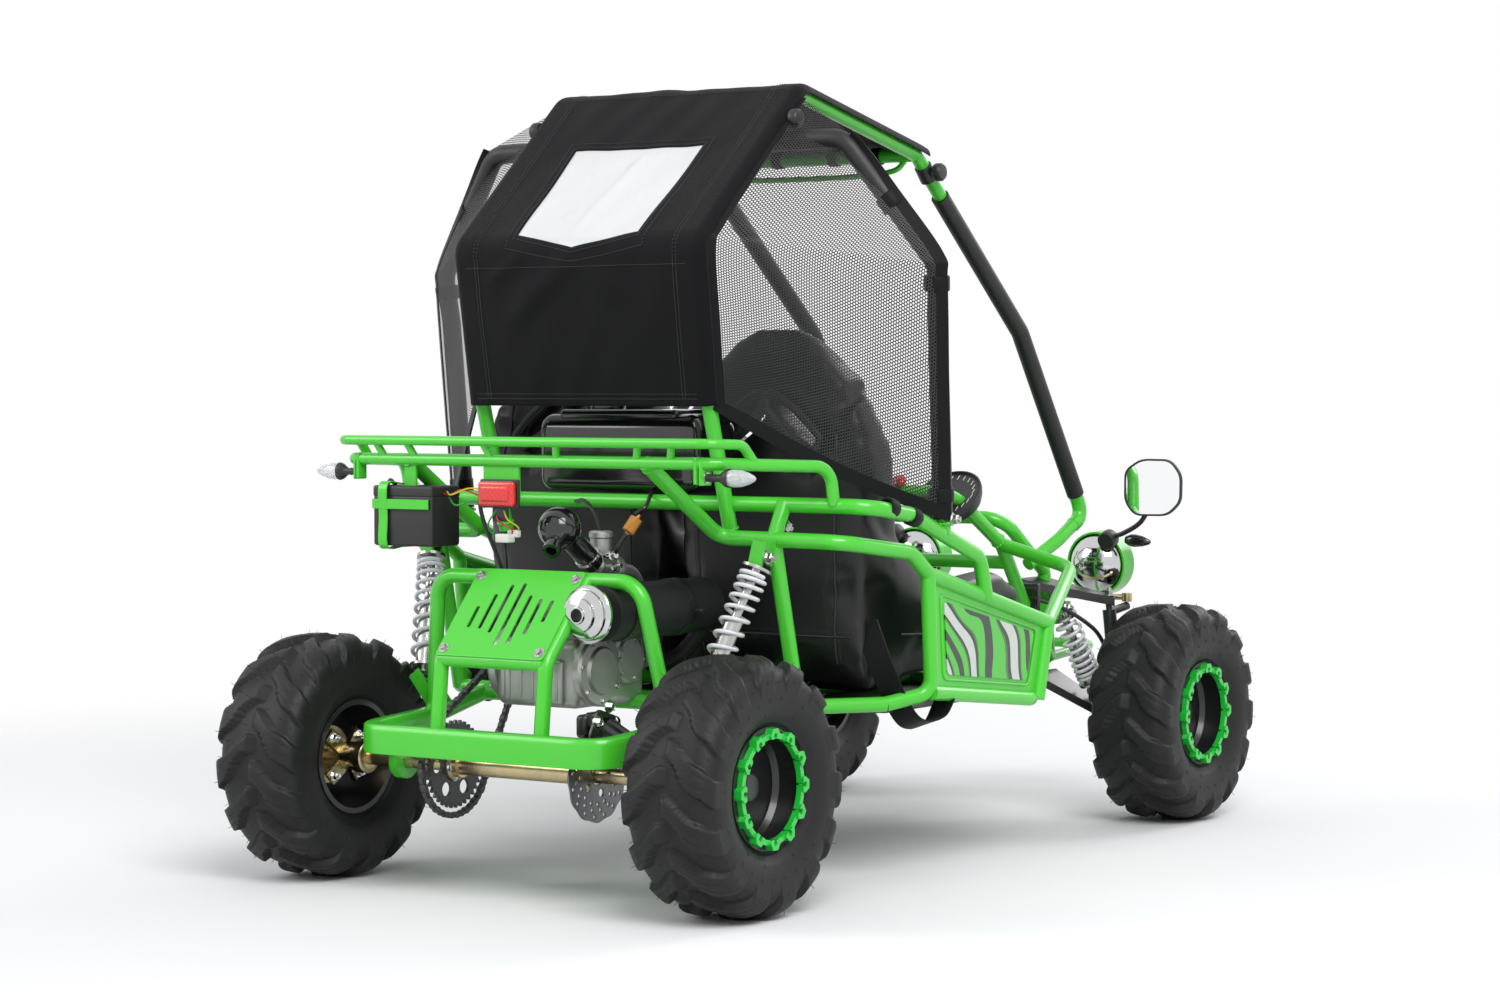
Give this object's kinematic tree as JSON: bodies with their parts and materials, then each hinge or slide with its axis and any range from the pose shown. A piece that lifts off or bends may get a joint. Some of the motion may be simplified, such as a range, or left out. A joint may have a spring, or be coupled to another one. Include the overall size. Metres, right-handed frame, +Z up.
{
  "type": "two-seat off-road dune buggy",
  "caption": "Open tube-frame off-road buggy with bucket seats, cloth roof, rear engine on a chain-driven axle and steered front wheels on wishbones.",
  "frame": {"origin": "on the ground, midway between the front and rear axles, on the centre plane", "axes": "+X forward, +Y to the driver's left, +Z up"},
  "size_m": [1.858, 1.0566, 1.321],
  "materials": {
    "black_plastic": "moulded",
    "black_rim": "satin black",
    "black_steel": "satin black powder coat",
    "cast_alloy": "cast and bead blasted",
    "chain_steel": "oiled dark steel",
    "chrome": "bright chrome",
    "clear_lens": "clear lens",
    "disc_steel": "ground steel",
    "exhaust_black": "matt heat-proof black",
    "foam": "fabric covered foam",
    "gloss_black": "gloss black",
    "green_paint": "satin gloss powder coat",
    "green_ring": "gloss powder coat",
    "mesh_cloth": "fine open mesh",
    "red_lens": "ribbed lens",
    "roof_cloth": "coated woven cloth",
    "seat_vinyl": "black vinyl with stitched seams",
    "tyre": "moulded rubber",
    "white_paint": "gloss white powder coat",
    "zinc_gold": "yellow zinc plating"
  },
  "bodies": {
    "root": {"air_filter": "gloss_black", "battery": "black_plastic", "canopy": "roof_cloth", "carburettor": "cast_alloy", "chain": "chain_steel", "engine": "cast_alloy", "floor_pan": "green_paint", "foam_sleeves": "foam", "fuel_tank": "gloss_black", "guard_plate": "green_paint", "headlights": "chrome", "lower_arms": "black_steel", "luggage_rack": "green_paint", "main_frame": "green_paint", "main_hoop": "green_paint", "mirrors": "black_plastic", "muffler": "exhaust_black", "rear_signals": "clear_lens", "roof_frame": "green_paint", "seat_left": "seat_vinyl", "seat_right": "seat_vinyl", "shock_bodies": "chrome", "shock_springs": "white_paint", "side_mesh": "mesh_cloth", "side_panels": "green_paint", "swing_arm": "green_paint", "tail_light": "red_lens", "upper_arms": "black_steel"},
    "rear_axle": {"rear_axle": "zinc_gold", "sprocket": "black_steel", "brake_disc": "disc_steel", "rear_rims": "black_rim", "rear_rings": "green_ring", "tyre_rear_left": "tyre", "tyre_rear_right": "tyre"},
    "knuckle_left": {"knuckle_left": "black_steel"},
    "knuckle_right": {"knuckle_right": "black_steel"},
    "front_wheel_left": {"rim_front_left": "black_rim", "ring_front_left": "green_ring", "tyre_front_left": "tyre"},
    "front_wheel_right": {"rim_front_right": "black_rim", "ring_front_right": "green_ring", "tyre_front_right": "tyre"},
    "steering": {"steering_column": "black_steel", "steering_wheel": "black_plastic"},
    "tie_rod_left": {"tie_rod_left": "zinc_gold"},
    "tie_rod_right": {"tie_rod_right": "zinc_gold"}
  },
  "joints": [
    {"name": "rear_axle_spin", "type": "hinge", "parent": "root", "child": "rear_axle", "pos_m": [-0.726, 0, 0.203], "axis": [0, 1, 0], "continuous": true},
    {"name": "steer_left", "type": "hinge", "parent": "root", "child": "knuckle_left", "pos_m": [0.717, 0.288, 0.402], "axis": [-0.0372, -0.0838, 0.9958], "range_deg": [-27, 27]},
    {"name": "steer_right", "type": "hinge", "parent": "root", "child": "knuckle_right", "pos_m": [0.717, -0.288, 0.402], "axis": [-0.0372, 0.0838, 0.9958], "range_deg": [-27, 27]},
    {"name": "wheel_left_spin", "type": "hinge", "parent": "knuckle_left", "child": "front_wheel_left", "pos_m": [0.726, 0.418, 0.203], "axis": [0, 1, 0], "continuous": true},
    {"name": "wheel_right_spin", "type": "hinge", "parent": "knuckle_right", "child": "front_wheel_right", "pos_m": [0.726, -0.418, 0.203], "axis": [0, 1, 0], "continuous": true},
    {"name": "steering_turn", "type": "hinge", "parent": "root", "child": "steering", "pos_m": [0.748, 0.12, 0.38], "axis": [-0.8578, 0.0972, 0.5048], "range_deg": [-38, 38]},
    {"name": "rod_left_turn", "type": "hinge", "parent": "knuckle_left", "child": "tie_rod_left", "pos_m": [0.768, 0.3, 0.412], "axis": [-0.0372, -0.0838, 0.9958], "range_deg": [-27, 27]},
    {"name": "rod_right_turn", "type": "hinge", "parent": "knuckle_right", "child": "tie_rod_right", "pos_m": [0.768, -0.3, 0.412], "axis": [-0.0372, 0.0838, 0.9958], "range_deg": [-27, 27]}
  ],
  "couplings": [
    {"joint": "steer_right", "follows": "steer_left", "ratio": 1},
    {"joint": "steering_turn", "follows": "steer_left", "ratio": 1.4},
    {"joint": "rod_left_turn", "follows": "steer_left", "ratio": -1},
    {"joint": "rod_right_turn", "follows": "steer_left", "ratio": -1}
  ]
}
